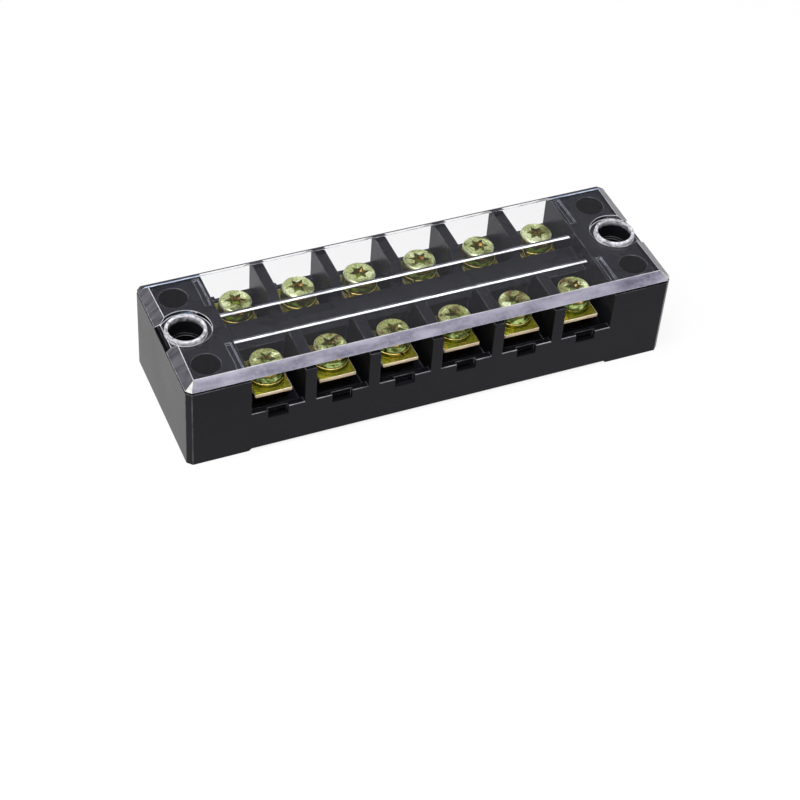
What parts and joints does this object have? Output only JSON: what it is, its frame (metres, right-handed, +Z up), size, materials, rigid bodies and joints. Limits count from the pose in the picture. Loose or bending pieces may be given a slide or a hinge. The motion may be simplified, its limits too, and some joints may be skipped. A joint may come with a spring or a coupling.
{
  "type": "barrier terminal strip",
  "caption": "Double-row barrier terminal strip with a black moulded base, clamp screws with plates and spring washers, and a clear bevelled lift-off cover.",
  "frame": {"origin": "centre of the footprint, in the plane of the feet", "axes": "+X along the strip, +Y across it towards the back row, +Z up through the cover"},
  "size_m": [0.07, 0.022, 0.014],
  "materials": {
    "moulded_black": "satin black moulding",
    "clear_cover": "clear polished plastic",
    "plated_bar": "stamped brass",
    "yellow_zinc_plate": "yellow passivated zinc",
    "yellow_zinc_washer": "yellow passivated zinc",
    "yellow_zinc_screw": "yellow passivated zinc"
  },
  "bodies": {
    "base": {"base": "moulded_black", "conductor_1": "plated_bar", "conductor_2": "plated_bar", "conductor_3": "plated_bar", "conductor_4": "plated_bar", "conductor_5": "plated_bar", "conductor_6": "plated_bar"},
    "cover": {"cover": "clear_cover"},
    "clamp_front_1": {"clamp_plate_front_1": "yellow_zinc_plate", "spring_washer_front_1": "yellow_zinc_washer"},
    "screw_front_1": {"screw_front_1": "yellow_zinc_screw"},
    "clamp_front_2": {"clamp_plate_front_2": "yellow_zinc_plate", "spring_washer_front_2": "yellow_zinc_washer"},
    "screw_front_2": {"screw_front_2": "yellow_zinc_screw"},
    "clamp_front_3": {"clamp_plate_front_3": "yellow_zinc_plate", "spring_washer_front_3": "yellow_zinc_washer"},
    "screw_front_3": {"screw_front_3": "yellow_zinc_screw"},
    "clamp_front_4": {"clamp_plate_front_4": "yellow_zinc_plate", "spring_washer_front_4": "yellow_zinc_washer"},
    "screw_front_4": {"screw_front_4": "yellow_zinc_screw"},
    "clamp_front_5": {"clamp_plate_front_5": "yellow_zinc_plate", "spring_washer_front_5": "yellow_zinc_washer"},
    "screw_front_5": {"screw_front_5": "yellow_zinc_screw"},
    "clamp_front_6": {"clamp_plate_front_6": "yellow_zinc_plate", "spring_washer_front_6": "yellow_zinc_washer"},
    "screw_front_6": {"screw_front_6": "yellow_zinc_screw"},
    "clamp_back_1": {"clamp_plate_back_1": "yellow_zinc_plate", "spring_washer_back_1": "yellow_zinc_washer"},
    "screw_back_1": {"screw_back_1": "yellow_zinc_screw"},
    "clamp_back_2": {"clamp_plate_back_2": "yellow_zinc_plate", "spring_washer_back_2": "yellow_zinc_washer"},
    "screw_back_2": {"screw_back_2": "yellow_zinc_screw"},
    "clamp_back_3": {"clamp_plate_back_3": "yellow_zinc_plate", "spring_washer_back_3": "yellow_zinc_washer"},
    "screw_back_3": {"screw_back_3": "yellow_zinc_screw"},
    "clamp_back_4": {"clamp_plate_back_4": "yellow_zinc_plate", "spring_washer_back_4": "yellow_zinc_washer"},
    "screw_back_4": {"screw_back_4": "yellow_zinc_screw"},
    "clamp_back_5": {"clamp_plate_back_5": "yellow_zinc_plate", "spring_washer_back_5": "yellow_zinc_washer"},
    "screw_back_5": {"screw_back_5": "yellow_zinc_screw"},
    "clamp_back_6": {"clamp_plate_back_6": "yellow_zinc_plate", "spring_washer_back_6": "yellow_zinc_washer"},
    "screw_back_6": {"screw_back_6": "yellow_zinc_screw"}
  },
  "joints": [
    {"name": "cover_lift", "type": "slide", "parent": "base", "child": "cover", "axis": [0, 0, 1], "range_m": [0, 0.02]},
    {"name": "clamp_front_1_travel", "type": "slide", "parent": "base", "child": "clamp_front_1", "axis": [0, 0, 1], "range_m": [-0.00137, 0.00175]},
    {"name": "screw_front_1_turn", "type": "hinge", "parent": "clamp_front_1", "child": "screw_front_1", "pos_m": [-0.0225, -0.0061, 0.00892], "axis": [0, 0, 1], "range_deg": [-984, 1261]},
    {"name": "clamp_front_2_travel", "type": "slide", "parent": "base", "child": "clamp_front_2", "axis": [0, 0, 1], "range_m": [-0.00137, 0.00175]},
    {"name": "screw_front_2_turn", "type": "hinge", "parent": "clamp_front_2", "child": "screw_front_2", "pos_m": [-0.0135, -0.0061, 0.00892], "axis": [0, 0, 1], "range_deg": [-984, 1261]},
    {"name": "clamp_front_3_travel", "type": "slide", "parent": "base", "child": "clamp_front_3", "axis": [0, 0, 1], "range_m": [-0.00137, 0.00175]},
    {"name": "screw_front_3_turn", "type": "hinge", "parent": "clamp_front_3", "child": "screw_front_3", "pos_m": [-0.0045, -0.0061, 0.00892], "axis": [0, 0, 1], "range_deg": [-984, 1261]},
    {"name": "clamp_front_4_travel", "type": "slide", "parent": "base", "child": "clamp_front_4", "axis": [0, 0, 1], "range_m": [-0.00137, 0.00175]},
    {"name": "screw_front_4_turn", "type": "hinge", "parent": "clamp_front_4", "child": "screw_front_4", "pos_m": [0.0045, -0.0061, 0.00892], "axis": [0, 0, 1], "range_deg": [-984, 1261]},
    {"name": "clamp_front_5_travel", "type": "slide", "parent": "base", "child": "clamp_front_5", "axis": [0, 0, 1], "range_m": [-0.00137, 0.00175]},
    {"name": "screw_front_5_turn", "type": "hinge", "parent": "clamp_front_5", "child": "screw_front_5", "pos_m": [0.0135, -0.0061, 0.00892], "axis": [0, 0, 1], "range_deg": [-984, 1261]},
    {"name": "clamp_front_6_travel", "type": "slide", "parent": "base", "child": "clamp_front_6", "axis": [0, 0, 1], "range_m": [-0.00137, 0.00175]},
    {"name": "screw_front_6_turn", "type": "hinge", "parent": "clamp_front_6", "child": "screw_front_6", "pos_m": [0.0225, -0.0061, 0.00892], "axis": [0, 0, 1], "range_deg": [-984, 1261]},
    {"name": "clamp_back_1_travel", "type": "slide", "parent": "base", "child": "clamp_back_1", "axis": [0, 0, 1], "range_m": [-0.00137, 0.00175]},
    {"name": "screw_back_1_turn", "type": "hinge", "parent": "clamp_back_1", "child": "screw_back_1", "pos_m": [-0.0225, 0.0061, 0.00892], "axis": [0, 0, 1], "range_deg": [-984, 1261]},
    {"name": "clamp_back_2_travel", "type": "slide", "parent": "base", "child": "clamp_back_2", "axis": [0, 0, 1], "range_m": [-0.00137, 0.00175]},
    {"name": "screw_back_2_turn", "type": "hinge", "parent": "clamp_back_2", "child": "screw_back_2", "pos_m": [-0.0135, 0.0061, 0.00892], "axis": [0, 0, 1], "range_deg": [-984, 1261]},
    {"name": "clamp_back_3_travel", "type": "slide", "parent": "base", "child": "clamp_back_3", "axis": [0, 0, 1], "range_m": [-0.00137, 0.00175]},
    {"name": "screw_back_3_turn", "type": "hinge", "parent": "clamp_back_3", "child": "screw_back_3", "pos_m": [-0.0045, 0.0061, 0.00892], "axis": [0, 0, 1], "range_deg": [-984, 1261]},
    {"name": "clamp_back_4_travel", "type": "slide", "parent": "base", "child": "clamp_back_4", "axis": [0, 0, 1], "range_m": [-0.00137, 0.00175]},
    {"name": "screw_back_4_turn", "type": "hinge", "parent": "clamp_back_4", "child": "screw_back_4", "pos_m": [0.0045, 0.0061, 0.00892], "axis": [0, 0, 1], "range_deg": [-984, 1261]},
    {"name": "clamp_back_5_travel", "type": "slide", "parent": "base", "child": "clamp_back_5", "axis": [0, 0, 1], "range_m": [-0.00137, 0.00175]},
    {"name": "screw_back_5_turn", "type": "hinge", "parent": "clamp_back_5", "child": "screw_back_5", "pos_m": [0.0135, 0.0061, 0.00892], "axis": [0, 0, 1], "range_deg": [-984, 1261]},
    {"name": "clamp_back_6_travel", "type": "slide", "parent": "base", "child": "clamp_back_6", "axis": [0, 0, 1], "range_m": [-0.00137, 0.00175]},
    {"name": "screw_back_6_turn", "type": "hinge", "parent": "clamp_back_6", "child": "screw_back_6", "pos_m": [0.0225, 0.0061, 0.00892], "axis": [0, 0, 1], "range_deg": [-984, 1261]}
  ],
  "couplings": [
    {"joint": "screw_front_1_turn", "follows": "clamp_front_1_travel", "rad_per_m": 12566},
    {"joint": "screw_front_2_turn", "follows": "clamp_front_2_travel", "rad_per_m": 12566},
    {"joint": "screw_front_3_turn", "follows": "clamp_front_3_travel", "rad_per_m": 12566},
    {"joint": "screw_front_4_turn", "follows": "clamp_front_4_travel", "rad_per_m": 12566},
    {"joint": "screw_front_5_turn", "follows": "clamp_front_5_travel", "rad_per_m": 12566},
    {"joint": "screw_front_6_turn", "follows": "clamp_front_6_travel", "rad_per_m": 12566},
    {"joint": "screw_back_1_turn", "follows": "clamp_back_1_travel", "rad_per_m": 12566},
    {"joint": "screw_back_2_turn", "follows": "clamp_back_2_travel", "rad_per_m": 12566},
    {"joint": "screw_back_3_turn", "follows": "clamp_back_3_travel", "rad_per_m": 12566},
    {"joint": "screw_back_4_turn", "follows": "clamp_back_4_travel", "rad_per_m": 12566},
    {"joint": "screw_back_5_turn", "follows": "clamp_back_5_travel", "rad_per_m": 12566},
    {"joint": "screw_back_6_turn", "follows": "clamp_back_6_travel", "rad_per_m": 12566}
  ]
}
